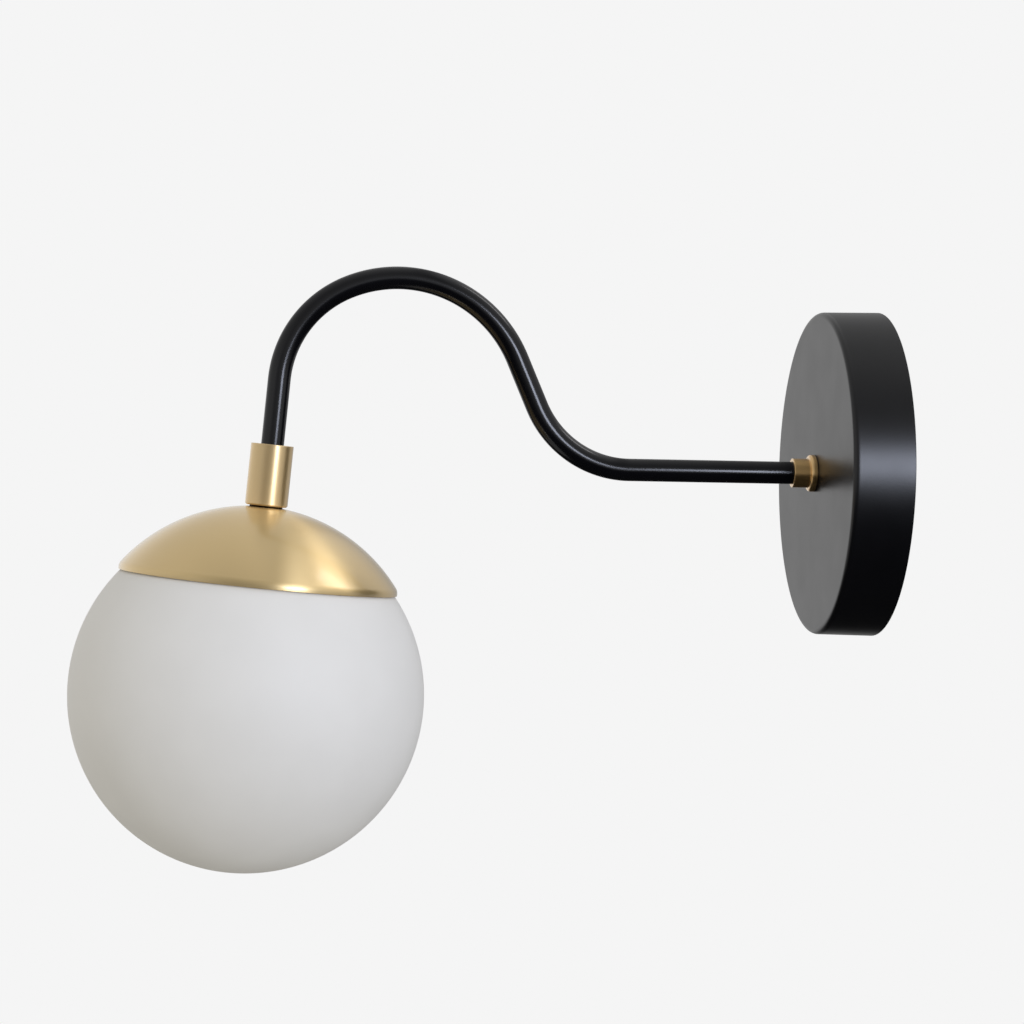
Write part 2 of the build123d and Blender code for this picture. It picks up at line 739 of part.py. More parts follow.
def lampholder_body():
    """Ceramic lamp holder: a recess for the lamp's base and a pocket for each pin."""
    body = block(centred(holder_length), centred(holder_width), (holder_bottom, holder_top))
    body = fillet(body.edges().filter_by(Axis.Z), holder_corner)
    base_hole = lamp_base_length + 2 * slide_gap, lamp_base_width + 2 * slide_gap
    body -= block(centred(base_hole[0]), centred(base_hole[1]), (holder_bottom - 1, pocket_base))
    pocket = block(centred(pin_pocket_length), centred(pin_pocket_width), (pocket_base - 1, pocket_top))
    wire_hole = disc(conductor_diameter / 2 + bore_gap, pocket_top - 1, holder_top + 1)
    for side in (-1, 1):
        place = Pos(side * pin_spacing / 2, 0, 0)
        body -= place * pocket
        body -= place * wire_hole
        depth = holder_length / 2 - strap_screw_length
        body -= Rot(0, 0, 90 - 90 * side) * across(
            strap_screw_diameter / 2 + thread_gap, depth, holder_length, strap_screw_plane()
        )
    return HEAD * body


def strap_screws():
    """Screws through the strap's legs into the holder."""
    seat = holder_length / 2 + bore_gap + strap_thickness
    tip = seat - strap_screw_length
    screw = slotted_screw(strap_screw_diameter, strap_screw_head, seat, strap_screw_head_height, tip)
    right = strap_screw_plane() * screw
    return HEAD * group([right, Rot(0, 0, 180) * right])


def lampholder_contacts():
    """Folded bronze contact in each pin pocket, its two leaves either side of the pin."""
    low = pocket_top - contact_height
    clear = bore_gap / 2
    high = pocket_top - clear
    length = pin_pocket_length - 2 * clear
    width = pin_pocket_width - 2 * clear
    outer = block(centred(length), centred(width), (low, high))
    leaf = (width - contact_slot) / 2
    slot = block(centred(pin_pocket_length), centred(contact_slot), (low - 1, high - leaf))
    contact = outer - slot
    return HEAD * group([Pos(side * pin_spacing / 2, 0, 0) * contact for side in (-1, 1)])


def lamp_tail(side):
    """One of the lead's cores, from its sheath down into the holder."""
    core = side * conductor_spread / 2
    contact = side * pin_spacing / 2
    points = [
        (core, 0, lead_end()),
        (core, 0, head_rod_end - lamp_lead_drop),
        (contact, 0, holder_top + lamp_lead_in),
        (contact, 0, pocket_top),
    ]
    return HEAD * round_wire(points, conductor_diameter)


# ---------------------------------------------------------------- lamp
def lamp_base():
    """Moulded base: a flat pinch for the holder, a collar, and a plug in the envelope."""
    pinch = block(centred(lamp_base_length), centred(lamp_base_width), (lamp_collar_top, lamp_base_top))
    pinch = fillet(pinch.edges().filter_by(Axis.Z), lamp_base_corner)
    collar = disc(lamp_diameter / 2, envelope_top, lamp_collar_top)
    plug = disc(lamp_diameter / 2 - lamp_wall - thread_gap, envelope_top - lamp_plug_height, envelope_top)
    return HEAD * (pinch + collar + plug)


def lamp_pins():
    """The lamp's two flat loop pins."""
    pin = block(centred(pin_width), centred(pin_thickness), (lamp_base_top, lamp_base_top + pin_length))
    pin = fillet(pin.edges().filter_by(Axis.Y).group_by(Axis.Z)[-1], pin_width / 3)
    return HEAD * group([Pos(side * pin_spacing / 2, 0, 0) * pin for side in (-1, 1)])


def capsule(radius, low, high):
    """Round-ended plug: a cylinder over a half sphere."""
    return disc(radius, low, high) + Pos(0, 0, low) * Sphere(radius)


def lamp_envelope():
    """Frosted envelope of the lamp, closed by a half sphere."""
    outer = lamp_diameter / 2
    low = envelope_top - lamp_tube_length
    shell = capsule(outer, low, envelope_top) - capsule(outer - lamp_wall, low, envelope_top + 1)
    return HEAD * shell


def board_top():
    """Height where the board meets the lamp base's plug."""
    return envelope_top - lamp_plug_height


def led_board():
    """Circuit board that stands in the envelope from the base's plug."""
    board = block(centred(board_width), centred(board_thickness), (board_top() - board_length, board_top()))
    return HEAD * board


def led_chips():
    """Light-emitting chips in a row on both faces of the board."""
    chips = []
    step = board_length / (chip_count + 1)
    half = board_thickness / 2
    for number in range(chip_count):
        middle = board_top() - step * (number + 1)
        span = (middle - chip_size / 2, middle + chip_size / 2)
        chips.append(block(centred(chip_size), (half, half + chip_thickness), span))
        chips.append(block(centred(chip_size), (-half - chip_thickness, -half), span))
    return HEAD * group(chips)


# ---------------------------------------------------------------- the assembly
parts = {
    "wall_bracket": wall_bracket(),
    "canopy_side_screws": side_screws(),
    "terminal_block": terminal_block(),
    "terminal_sleeves": terminal_sleeves(),
    "terminal_screws": terminal_screws(),
    "block_screw": block_screw(),
    "earth_screw": earth_screw(),
    "earth_washer": earth_washer(),
    "earth_tags": earth_tags(),
    "earth_lead": earth_lead(),
    "canopy_shell": canopy_shell(),
    "canopy_ferrule": canopy_ferrule(),
    "canopy_rod": WALL * hollow_rod(canopy_rod_end, canopy_rod_top),
    "canopy_lock_washer": WALL * toothed_washer(canopy_inside - lock_washer_thickness),
    "canopy_lock_nut": WALL * lock_nut(canopy_nut_level),
    "lead_bush": lead_bush(),
    "arm_tube": arm_tube(),
    "arm_lead": arm_lead(),
    "supply_live": supply_tail(1),
    "supply_neutral": supply_tail(-1),
    "head_ferrule": head_ferrule(),
    "head_rod": HEAD * hollow_rod(head_rod_end, head_rod_top),
    "globe_cap": globe_cap(),
    "gallery_plate": gallery_plate(),
    "globe_gasket": globe_gasket(),
    "spring_clips": spring_clips(),
    "clip_rivets": clip_rivets(),
    "holder_strap": holder_strap(),
    "head_lock_washer": HEAD * toothed_washer(strap_under - lock_washer_thickness),
    "head_lock_nut": HEAD * lock_nut(head_nut_under),
    "lampholder_body": lampholder_body(),
    "lampholder_contacts": lampholder_contacts(),
    "strap_screws": strap_screws(),
    "lamp_live": lamp_tail(1),
    "lamp_neutral": lamp_tail(-1),
    "lamp_base": lamp_base(),
    "lamp_pins": lamp_pins(),
    "lamp_envelope": lamp_envelope(),
    "led_board": led_board(),
    "led_chips": led_chips(),
    "globe_glass": globe_glass(),
}

os.makedirs("parts", exist_ok=True)
for node, shape in parts.items():
    export_step(shape, f"parts/{node}.step")

print("head's down direction", HEAD_DOWN, "globe's centre", GLOBE_CENTRE)
print("earth wire radii", [round(r, 1) for r in corner_radii(earth_points())])
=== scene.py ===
"""Looks of a globe wall sconce: black canopy and swan-neck arm, satin brass, opal glass.

Metres, +Z up. The wall is the plane y = 0 and the lamp stands out towards -Y. Each new piece is
a grid of points worked out from a profile or a path, with the sizes of the solid it covers.
"""

from math import acos, asin, atan2, cos, pi, radians, sin, sqrt, tan

import bpy
import numpy as np
from mathutils import Matrix, Vector


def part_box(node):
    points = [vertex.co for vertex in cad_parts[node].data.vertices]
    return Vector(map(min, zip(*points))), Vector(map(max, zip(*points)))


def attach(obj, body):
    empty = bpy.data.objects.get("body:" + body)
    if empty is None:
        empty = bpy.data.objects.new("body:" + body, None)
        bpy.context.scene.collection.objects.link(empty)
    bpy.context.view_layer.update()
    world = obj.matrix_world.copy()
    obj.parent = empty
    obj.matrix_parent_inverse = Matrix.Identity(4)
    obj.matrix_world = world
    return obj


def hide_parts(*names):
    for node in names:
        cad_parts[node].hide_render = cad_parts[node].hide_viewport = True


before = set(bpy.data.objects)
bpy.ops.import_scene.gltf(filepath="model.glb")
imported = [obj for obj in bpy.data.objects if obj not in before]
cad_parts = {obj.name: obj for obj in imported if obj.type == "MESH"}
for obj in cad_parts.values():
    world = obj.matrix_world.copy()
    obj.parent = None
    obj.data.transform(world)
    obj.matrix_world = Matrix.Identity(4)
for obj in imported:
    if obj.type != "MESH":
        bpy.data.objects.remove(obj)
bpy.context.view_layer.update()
MM = 0.001

# ---------------------------------------------------------------- sizes of the shown pieces
rod_hole_radius = 5.1 * MM         # in the canopy, in both brass ferrules and in the cap's flat

canopy_draft = 0.5 * MM
canopy_wall = 1.2 * MM
canopy_edge_radius = 2.2 * MM
canopy_rim_round = 0.3 * MM        # back edge, where the sheet was trimmed
side_hole_depth = 10.0 * MM        # the two grub screws' holes, above and below, from the wall
side_hole_radius = 2.1 * MM

arm_radius = 4.825 * MM
arm_bore_radius = 3.95 * MM
arm_start = 30.6 * MM              # tube's end inside the canopy's ferrule, from the wall
arm_reach = 81.4 * MM
rise_radius = 44.3 * MM
rise_angle = radians(66.3)
climb_length = 21.7 * MM
crook_back_radius = 55.5 * MM
crook_back_angle = radians(90.2)
crook_front_radius = 47.3 * MM
head_tilt = radians(4.9)
drop_length = 27.8 * MM
arm_in_head = 13.0 * MM            # tube inside the head's ferrule
arm_end_round = 0.2 * MM           # eased edge of the two cut ends
tube_clearance = 0.05 * MM         # round the tube in the ferrule that takes it

flange_radius = 8.05 * MM
flange_thickness = 3.0 * MM
flange_round = 1.3 * MM
collar_radius = 6.3 * MM
collar_chamfer = 0.3 * MM
canopy_ferrule_length = 10.0 * MM
turned_edge = 0.15 * MM            # broken edge of turned brass

head_ferrule_radius = 9.0 * MM
head_ferrule_length = 25.6 * MM
ferrule_chamfer = 0.6 * MM
foot_radius = 7.0 * MM
foot_height = 1.0 * MM
shadow_gap = 0.6 * MM              # what the eye sees of the foot, between barrel and cap

cap_wall = 0.8 * MM
cap_crown_gap = 4.2 * MM           # inside of the crown above the glass sphere
cap_lip_gap = 0.3 * MM
cap_lip_radius = 58.1 * MM         # inside of the lip
cap_band_height = 2.0 * MM         # short straight band at the lip
cap_flat_radius = 7.5 * MM
lip_round = 0.15 * MM
band_round = 4.0 * MM              # where the dome turns down into its band

globe_wall = 3.0 * MM
mouth_radius = 40.0 * MM
mouth_round = 0.4 * MM             # arris of the ground mouth

# ---------------------------------------------------------------- fineness of the grids
# Columns of points round each piece, and points along its profile or path.
canopy_columns = 288
drill_columns = 48
arm_columns = 72
collar_columns = 128
coupler_columns = 160
dome_columns = 256
globe_columns = 256

ring_spacing = 1.2 * MM            # longest step between two rings of the arm's tube
corner_steps = 5                   # steps round a rounded corner
canopy_corner_steps = 8
corner_margin = 0.3                # its first and last points lie this share of its trim outside it
dome_points = 60                   # along each of the dome's two spheres
globe_outer_points = 140
globe_inner_points = 110
sharp_angle = radians(40)          # past this, an edge of the drilled canopy stays sharp

# ---------------------------------------------------------------- places, from the frame
canopy_low, canopy_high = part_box("canopy_shell")
canopy_radius = canopy_high.x
canopy_depth = canopy_high.y - canopy_low.y

globe_low, globe_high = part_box("globe_glass")
globe_radius = (globe_high.y - globe_low.y) / 2
globe_centre = Vector((0, (globe_high.y + globe_low.y) / 2, globe_low.z + globe_radius))

# Wall frame: x along the wall, y up it, z out of it. Head frame: z up the head's axis.
WALL = Matrix(((1, 0, 0, 0), (0, 0, -1, 0), (0, 1, 0, 0), (0, 0, 0, 1)))
HEAD = Matrix.Translation(globe_centre) @ Matrix.Rotation(-head_tilt, 4, "X")

mouth_height = sqrt(globe_radius**2 - mouth_radius**2)
cap_crown = globe_radius + cap_crown_gap
lip_height = sqrt((globe_radius + cap_lip_gap) ** 2 - cap_lip_radius**2)
band_top = lip_height + cap_band_height
cap_centre = (cap_crown**2 - cap_lip_radius**2 - band_top**2) / (2 * (cap_crown - band_top))
cap_inner = cap_crown - cap_centre
cap_outer = cap_inner + cap_wall
cap_top = cap_centre + sqrt(cap_outer**2 - cap_flat_radius**2)
ferrule_top = cap_top + foot_height + head_ferrule_length
socket_radius = arm_radius + tube_clearance


# ---------------------------------------------------------------- grids and profiles
turn_map = "turn"                  # UV map of every new piece


def arc(centre, radius, start, end, count):
    """Points (centre + radius * (sin a, cos a)) for a in even steps; a is measured from up."""
    angle = np.linspace(start, end, count)
    return np.column_stack((centre[0] + radius * np.sin(angle), centre[1] + radius * np.cos(angle)))


def rounded(corners, steps=corner_steps):
    """Closed outline through (x, y, radius) corners. Each corner with a radius becomes the arc
    start + r sin(t) onwards + r (1 - cos(t)) inwards, for t from 0 to the corner's turn, with one
    more point a little before and after it."""
    corners = np.asarray(corners, float)
    outline = []
    for i, (x, y, radius) in enumerate(corners):
        here = np.array((x, y))
        if radius == 0:
            outline.append(here[None])
            continue
        before = here - corners[i - 1, :2]
        after = corners[(i + 1) % len(corners), :2] - here
        before /= np.linalg.norm(before)
        after /= np.linalg.norm(after)
        cross = before[0] * after[1] - before[1] * after[0]
        turn = atan2(abs(cross), before @ after)
        trim = radius * tan(turn / 2)
        inward = np.array((-before[1], before[0])) * (1 if cross > 0 else -1)
        t = np.linspace(0, turn, steps + 1)[:, None]
        start = here - before * trim
        bend = start + before * radius * np.sin(t) + inward * radius * (1 - np.cos(t))
        margin = corner_margin * trim
        outline += [(start - before * margin)[None], bend, (here + after * (trim + margin))[None]]
    return np.vstack(outline)


def corners_of(points, radius=0.0):
    """Points of a curve as corners for rounded(), with one radius."""
    return [(x, y, radius) for x, y in points]


def placed(points, matrix):
    """Local points carried into the shared frame by a 4 x 4 matrix."""
    m = np.array(matrix)
    return points @ m[:3, :3].T + m[:3, 3]


def cells(grid):
    """The four corners of every cell of a grid, in order round it: rows x columns x 4."""
    return np.stack((grid[:-1, :-1], grid[:-1, 1:], grid[1:, 1:], grid[1:, :-1]), 2)


def pole_fan(ring, around, level, pole):
    """Triangles from a ring of vertices to its pole, and the UV place of each of their corners."""
    triangles = np.stack((np.full(len(ring) - 1, pole), ring[1:], ring[:-1]), -1)
    turns = np.stack(((around[:-1] + around[1:]) / 2, around[1:], around[:-1]), -1)
    return triangles.tolist(), np.stack((turns, np.full_like(turns, level)), -1).reshape(-1, 2)


def surface(name, points, along, closed, poles=()):
    """Mesh over a grid: row i, column j joins its neighbours (i + 1, j) and (i, j + 1). Columns
    run round and close on themselves; rows close if asked, or end in a pole at each end.
    The UV map holds (turn, distance along the profile or path)."""
    rows, cols = points.shape[:2]
    index = np.arange(rows * cols).reshape(rows, cols)
    level = np.asarray(along, float)
    if closed:
        index = np.vstack((index, index[:1]))
        level = np.append(level, level[-1] + np.linalg.norm(points[0, 0] - points[-1, 0]))
    index = np.hstack((index, index[:, :1]))
    turn = np.arange(cols + 1) / cols
    faces = cells(index).reshape(-1, 4).tolist()
    face_uv = cells(np.stack(np.meshgrid(turn, level), -1)).reshape(-1, 2)
    vertices = points.reshape(-1, 3)
    if len(poles):
        ends = ((index[0], turn, level[0]), (index[-1][::-1], turn[::-1], level[-1]))
        for pole, end in enumerate(ends, start=len(vertices)):
            triangles, fan_uv = pole_fan(*end, pole)
            faces += triangles
            face_uv = np.vstack((face_uv, fan_uv))
        vertices = np.vstack((vertices, poles))
    mesh = bpy.data.meshes.new(name)
    mesh.from_pydata(vertices, [], faces)
    mesh.uv_layers.new(name=turn_map).data.foreach_set("uv", face_uv.ravel())
    mesh.shade_smooth()
    if signed_volume(points, closed, poles) < 0:
        mesh.flip_normals()
    piece = bpy.data.objects.new(name, mesh)
    bpy.context.scene.collection.objects.link(piece)
    return piece


def signed_volume(points, closed, poles):
    """Six times the volume a grid encloses: positive where its faces point outwards."""
    if closed:
        points = np.vstack((points, points[:1]))
    if len(poles):
        cols = points.shape[1]
        ends = [np.repeat(np.asarray(p, float)[None, None], cols, 1) for p in poles]
        points = np.vstack((ends[0], points, ends[1]))
    points = points - points.mean((0, 1))
    after = np.roll(points, -1, 1)
    a, b, c, d = points[:-1], after[:-1], after[1:], points[1:]
    return np.sum(a * np.cross(b, c)) + np.sum(a * np.cross(c, d))


def path_length(points):
    """Distance along a row of points, from its first."""
    steps = np.linalg.norm(np.diff(points, axis=0), axis=1)
    return np.concatenate(((0.0,), np.cumsum(steps)))


def turned(name, profile, matrix, columns, closed=True):
    """Surface of revolution: (r, h) goes to (r cos a, r sin a, h) for a round the circle."""
    angle = np.arange(columns) * 2 * pi / columns
    radius, height = profile[:, :1], profile[:, 1:]
    poles = ()
    if not closed:
        poles = placed(np.array([(0, 0, profile[0, 1]), (0, 0, profile[-1, 1])]), matrix)
        radius, height = radius[1:-1], height[1:-1]
    level = np.broadcast_to(height, (len(height), columns))
    points = np.stack((radius * np.cos(angle), radius * np.sin(angle), level), -1)
    along = path_length(np.hstack((radius, height)))
    return surface(name, placed(points, matrix), along, closed, poles)


# ---------------------------------------------------------------- black canopy and arm
def canopy_dish():
    """Pressed cup: drafted rim, rounded front edge, flat face with the rod's hole, the same line
    again one wall further in, and a hole right through the rim for the grub screws. A ring of
    points on each side of the holes keeps the rim's long faces whole."""
    front = canopy_radius - canopy_draft
    inside = canopy_depth - canopy_wall
    slope = canopy_draft / canopy_depth
    beside = [side_hole_depth - 2 * side_hole_radius, side_hole_depth + 2 * side_hole_radius]
    rim = [(canopy_radius - slope * depth, depth, 0) for depth in beside]
    lining = [(canopy_radius - canopy_wall - slope * depth, depth, 0) for depth in beside[::-1]]
    profile = rounded([
        (canopy_radius, 0, canopy_rim_round),
        *rim,
        (front, canopy_depth, canopy_edge_radius),
        (rod_hole_radius, canopy_depth, canopy_rim_round),
        (rod_hole_radius, inside, canopy_rim_round),
        (front - canopy_wall, inside, canopy_edge_radius - canopy_wall),
        *lining,
        (canopy_radius - canopy_wall, 0, canopy_rim_round),
    ], steps=canopy_corner_steps)
    dish = turned("canopy_dish", profile, WALL, canopy_columns)
    reach = canopy_radius * 1.1        # the drill stands out of the rim at both ends
    drill_line = np.array([(0, -reach), (side_hole_radius, -reach), (side_hole_radius, reach), (0, reach)])
    upright = Matrix.Translation((0, -side_hole_depth, 0))
    drill = turned("side_drill", drill_line, upright, drill_columns, closed=False)
    pierced = dish.modifiers.new("side holes", "BOOLEAN")
    pierced.object, pierced.solver = drill, "EXACT"
    cut = bpy.data.meshes.new_from_object(dish.evaluated_get(bpy.context.evaluated_depsgraph_get()))
    dish.modifiers.clear()
    dish.data = cut
    bpy.data.objects.remove(drill)
    cut.shade_smooth()
    cut.set_sharp_from_angle(angle=sharp_angle)
    return dish


def arm_line():
    """Centreline of the arm as rows of (out, up, heading): each piece is a straight run or an
    arc (centre + r sin h, centre - r cos h), and starts where the last one ended."""
    front_angle = rise_angle + pi / 2 - head_tilt - crook_back_angle
    pieces = [
        (canopy_depth + arm_reach - arm_start, 0),
        (rise_radius * rise_angle, 1 / rise_radius),
        (climb_length, 0),
        (crook_back_radius * crook_back_angle, -1 / crook_back_radius),
        (crook_front_radius * front_angle, -1 / crook_front_radius),
        (drop_length + arm_in_head, 0),
    ]
    place, heading = np.array((arm_start, 0.0)), 0.0
    rows = []
    for length, curvature in pieces:
        s = np.linspace(0, length, int(length / ring_spacing) + 2)[:, None]
        turn = heading + curvature * s
        if curvature:
            run = np.hstack((np.sin(turn) - sin(heading), cos(heading) - np.cos(turn))) / curvature
        else:
            run = s * np.array((cos(heading), sin(heading)))
        rows.append(np.hstack((place + run, turn))[:-1])
        place, heading = place + run[-1], heading + curvature * length
    rows.append(np.append(place, heading)[None])
    return np.vstack(rows)


def swan_neck():
    """Bent tube: the circle r (cos a, sin a) carried along the arm's line, outside and then back
    along the bore, joined over the two cut ends."""
    line = arm_line()
    angle = np.arange(arm_columns) * 2 * pi / arm_columns
    shell = np.vstack((line, line[::-1]))
    radius = np.repeat((arm_radius, arm_bore_radius), len(line))[:, None]
    radius[[0, len(line) - 1]] -= arm_end_round
    out, up, heading = shell[:, :1], shell[:, 1:2], shell[:, 2:]
    aside, lift = radius * np.sin(angle), radius * np.cos(angle)
    points = np.stack((aside, lift * np.sin(heading) - out, lift * np.cos(heading) + up), -1)
    return surface("swan_neck", points, path_length(shell[:, :2]), True)


# ---------------------------------------------------------------- turned and spun brass
def canopy_collar():
    """Turned flange with a rounded front, and the collar that takes the tube."""
    flange = canopy_depth + flange_thickness
    profile = rounded([
        (rod_hole_radius, canopy_depth, turned_edge),
        (flange_radius, canopy_depth, turned_edge),
        (flange_radius, flange, flange_round),
        (collar_radius, flange, turned_edge),
        (collar_radius, canopy_depth + canopy_ferrule_length, collar_chamfer),
        (socket_radius, canopy_depth + canopy_ferrule_length, turned_edge),
        (socket_radius, flange, 0),
    ])
    return turned("canopy_collar", profile, WALL, collar_columns)


def head_coupler():
    """Turned coupler: a narrow foot on the cap, a chamfered barrel, and the tube's socket."""
    low = cap_top + shadow_gap
    profile = rounded([
        (rod_hole_radius, cap_top, 0),
        (foot_radius, cap_top, 0),
        (foot_radius, low, 0),
        (head_ferrule_radius - ferrule_chamfer, low, turned_edge),
        (head_ferrule_radius, low + ferrule_chamfer, turned_edge),
        (head_ferrule_radius, ferrule_top, collar_chamfer),
        (socket_radius, ferrule_top, turned_edge),
        (socket_radius, low, 0),
    ])
    return turned("head_coupler", profile, HEAD, coupler_columns)


def dome_cap():
    """Spun dome: two spheres about one centre, a flat under the coupler, and a short straight band
    below whose edge is cut square."""
    lip_outer = cap_lip_radius + cap_wall
    flat_outer = asin(cap_flat_radius / cap_outer)
    inner_flat_height = cap_top - cap_wall
    flat_inner = acos((inner_flat_height - cap_centre) / cap_inner)
    outer = arc((0, cap_centre), cap_outer, flat_outer, asin(lip_outer / cap_outer), dome_points)
    inner = arc((0, cap_centre), cap_inner, asin(cap_lip_radius / cap_inner), flat_inner, dome_points)
    profile = rounded(
        [(rod_hole_radius, cap_top, 0)]
        + corners_of(outer[:-3])                # the round over the band takes up the rest
        + corners_of(outer[-1:], band_round)
        + [(lip_outer, lip_height, lip_round), (cap_lip_radius, lip_height, lip_round)]
        + corners_of(inner)
        + [(rod_hole_radius, inner_flat_height, 0)]
    )
    return turned("dome_cap", profile, HEAD, dome_columns)


# ---------------------------------------------------------------- opal glass
def opal_globe():
    """Blown sphere, open at the top: outside from the lowest point up to the ground mouth, and
    inside back down to the lowest point."""
    inside = globe_radius - globe_wall
    outer_mouth = asin(mouth_radius / globe_radius)
    inner_mouth = acos(mouth_height / inside)
    outer = arc((0, 0), globe_radius, pi, outer_mouth, globe_outer_points)
    inner = arc((0, 0), inside, inner_mouth, pi, globe_inner_points)
    profile = rounded(
        corners_of(outer[:-1])
        + corners_of(outer[-1:], mouth_round)
        + corners_of(inner[:1], mouth_round)
        + corners_of(inner[1:])
    )
    profile[0, 0] = profile[-1, 0] = 0
    return turned("opal_globe", profile, HEAD, globe_columns, closed=False)


# ---------------------------------------------------------------- shader building
def add(tree, kind, inputs=None, **settings):
    """A node with its settings, its inputs given as values or as sockets to link from."""
    made = tree.nodes.new(kind)
    for key, value in settings.items():
        setattr(made, key, value)
    for key, value in (inputs or {}).items():
        if isinstance(value, bpy.types.NodeSocket):
            tree.links.new(value, made.inputs[key])
        else:
            made.inputs[key].default_value = value
    return made


def maths(tree, operation, first, second):
    """One value worked out from two."""
    return add(tree, "ShaderNodeMath", {0: first, 1: second}, operation=operation).outputs[0]


def vectors(tree, operation, first, second):
    """Outputs of one node that works on two vectors."""
    return add(tree, "ShaderNodeVectorMath", {0: first, 1: second}, operation=operation).outputs


def mapped(tree, value, source, target=(0.0, 1.0), **settings):
    """A value carried from one range to another, and held beyond its ends."""
    ends = {"From Min": source[0], "From Max": source[1], "To Min": target[0], "To Max": target[1]}
    return add(tree, "ShaderNodeMapRange", {"Value": value, **ends}, **settings).outputs[0]


def mixed(tree, factor, first, second, **settings):
    """A value, or with data_type RGBA a colour, between two others."""
    parts = {"Factor": factor, "A": first, "B": second}
    return add(tree, "ShaderNodeMix", parts, **settings).outputs["Result"]


def noise(tree, place, scale, detail):
    """Cloudy noise at a place."""
    return add(tree, "ShaderNodeTexNoise", {"Vector": place, "Scale": scale, "Detail": detail}).outputs[0]


def new_group(name, inputs, outputs):
    """Empty shader group with named inputs (name and default) and named outputs, all plain values."""
    tree = bpy.data.node_groups.new(name, "ShaderNodeTree")
    for label, value in inputs.items():
        socket = tree.interface.new_socket(label, in_out="INPUT", socket_type="NodeSocketFloat")
        socket.default_value = value
    for label in outputs:
        tree.interface.new_socket(label, in_out="OUTPUT", socket_type="NodeSocketFloat")
    return tree, tree.nodes.new("NodeGroupInput").outputs, tree.nodes.new("NodeGroupOutput").inputs


# ---------------------------------------------------------------- effects that materials share
patch_scale = 45.0                 # cloudy patches of gloss and tone in a skin, to a metre
patch_edges = (0.35, 0.65)         # of the noise, from one tone to the other

line_drift = 25.0                  # how fast the brushed lines change round a piece, to a metre
line_edges = (0.3, 0.7)            # of the noise, from the smoother lines to the rougher
smear_scale = 30.0                 # slow smears of tone, to a metre
recess_edges = (3.2 * MM, 3.8 * MM)    # along the profile, where it comes out of the joint and the painted shade ends

stripe_edges = (0.45, 0.55)        # of the wave, from one stripe to the other


def fine_skin():
    """Coat, glaze or moulded skin: a fine orange-peel height, and slow patches of gloss and tone."""
    tree, given, out = new_group(
        "skin", {"Grain": 900.0, "Gloss low": 0.3, "Gloss high": 0.4}, ("Height", "Roughness", "Patches")
    )
    place = add(tree, "ShaderNodeTexCoord").outputs["Object"]
    peel = noise(tree, place, given["Grain"], 2.0)
    patches = mapped(tree, noise(tree, place, patch_scale, 3.0), patch_edges)
    rough = mapped(tree, patches, (0.0, 1.0), (given["Gloss low"], given["Gloss high"]))
    tree.links.new(peel, out["Height"])
    tree.links.new(rough, out["Roughness"])
    tree.links.new(patches, out["Patches"])
    return tree


def brushing():
    """Fine lines round a turned or spun piece: noise that changes fast along the profile and
    slowly round the axis, read from the piece's own UV map and its place. Recess marks the first
    few millimetres of a profile, which start at the rod's hole and lie in the joint, where the
    brass is painted dark as shade."""
    tree, given, out = new_group(
        "brushing",
        {"Lines": 2500.0, "Rough low": 0.25, "Rough high": 0.4},
        ("Height", "Roughness", "Tone", "Recess"),
    )
    place = add(tree, "ShaderNodeTexCoord").outputs["Object"]
    uv = add(tree, "ShaderNodeUVMap", uv_map=turn_map).outputs[0]
    along = add(tree, "ShaderNodeSeparateXYZ", {0: uv}).outputs["Y"]
    fast = maths(tree, "MULTIPLY", along, given["Lines"])
    shift = add(tree, "ShaderNodeCombineXYZ", {"X": fast, "Z": fast}).outputs[0]
    slow = vectors(tree, "MULTIPLY", place, (line_drift, line_drift, line_drift))[0]
    lines = noise(tree, vectors(tree, "ADD", slow, shift)[0], 1.0, 2.0)
    rough = mapped(tree, lines, line_edges, (given["Rough low"], given["Rough high"]))
    tree.links.new(lines, out["Height"])
    tree.links.new(rough, out["Roughness"])
    tree.links.new(noise(tree, place, smear_scale, 4.0), out["Tone"])
    tree.links.new(mapped(tree, along, recess_edges, (1.0, 0.0)), out["Recess"])
    return tree


def core_stripes():
    """Two colours along an earth core: a wave across its lie, sharpened to stripes."""
    tree, given, out = new_group("core_stripes", {"Stripes": 160.0}, ("Mask",))
    place = add(tree, "ShaderNodeTexCoord").outputs["Object"]
    wave = add(tree, "ShaderNodeTexWave", {"Vector": place, "Scale": given["Stripes"]},
               bands_direction="DIAGONAL")
    tree.links.new(mapped(tree, wave.outputs["Fac"], stripe_edges), out["Mask"])
    return tree


SKIN = fine_skin()
BRUSHING = brushing()
CORE_STRIPES = core_stripes()


# ---------------------------------------------------------------- materials
skin_relief = 0.05 * MM            # full height of a skin's grain, of which each finish has a share
brushed_relief = 0.01 * MM         # full height of the brushed lines
brushed_share = 0.04               # of that height, under the lacquer
brushed_gloss = 0.02               # roughness to each side of its middle
brass_lines = 5000.0               # along the profile, to a metre
painted_joint_shade = (0.16, 0.10, 0.05, 1)    # painted shade: the brass's colour in its joints, dark where shadow falls


def new_material(name, **shader):
    """Material whose plain numbers and colours are set on the shader's own sockets."""
    material = bpy.data.materials.new(name)
    material.use_nodes = True
    tree = material.node_tree
    principled = tree.nodes["Principled BSDF"]
    for key, value in shader.items():
        principled.inputs[key.replace("_", " ")].default_value = value
    return material, tree, principled


def use(tree, group, **values):
    """A group placed in a material, with its own values."""
    placed_group = add(tree, "ShaderNodeGroup", node_tree=group)
    for key, value in values.items():
        placed_group.inputs[key.replace("_", " ")].default_value = value
    return placed_group.outputs


def bump(tree, principled, height, strength, distance):
    """Feeds a height to the shader's normal."""
    raised = add(tree, "ShaderNodeBump", {"Height": height, "Strength": strength, "Distance": distance})
    tree.links.new(raised.outputs[0], principled.inputs["Normal"])


